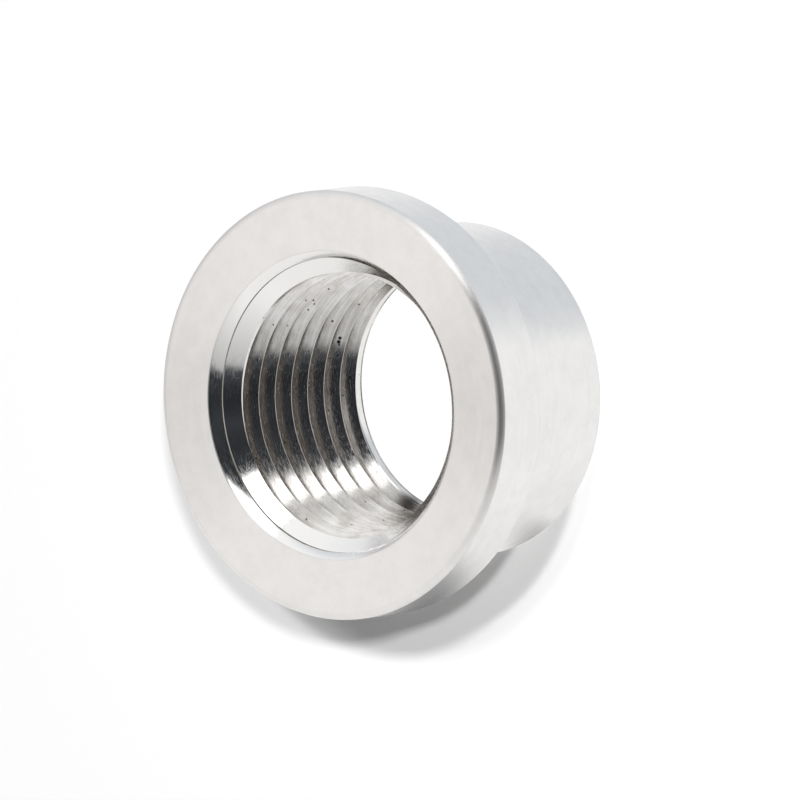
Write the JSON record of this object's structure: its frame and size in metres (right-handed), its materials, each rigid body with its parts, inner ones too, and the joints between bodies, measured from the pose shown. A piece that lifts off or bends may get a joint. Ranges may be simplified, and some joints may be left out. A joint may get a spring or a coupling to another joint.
{
  "type": "weld bung",
  "caption": "Stepped steel ring with a flange, a spigot and a taper-threaded bore, welded into a pipe or tank wall as a threaded port.",
  "frame": {"origin": "centre of the spigot's end face, which is the bottom of the part", "axes": "+Z along the ring's axis, from the spigot's end towards the flange's face and the threaded mouth"},
  "size_m": [0.0305, 0.0304, 0.016],
  "materials": {
    "turned_stainless": "fine turned and lightly polished stainless steel, bright, with faint lathe marks"
  },
  "bodies": {
    "root": {"weld_bung": "turned_stainless"}
  },
  "joints": []
}
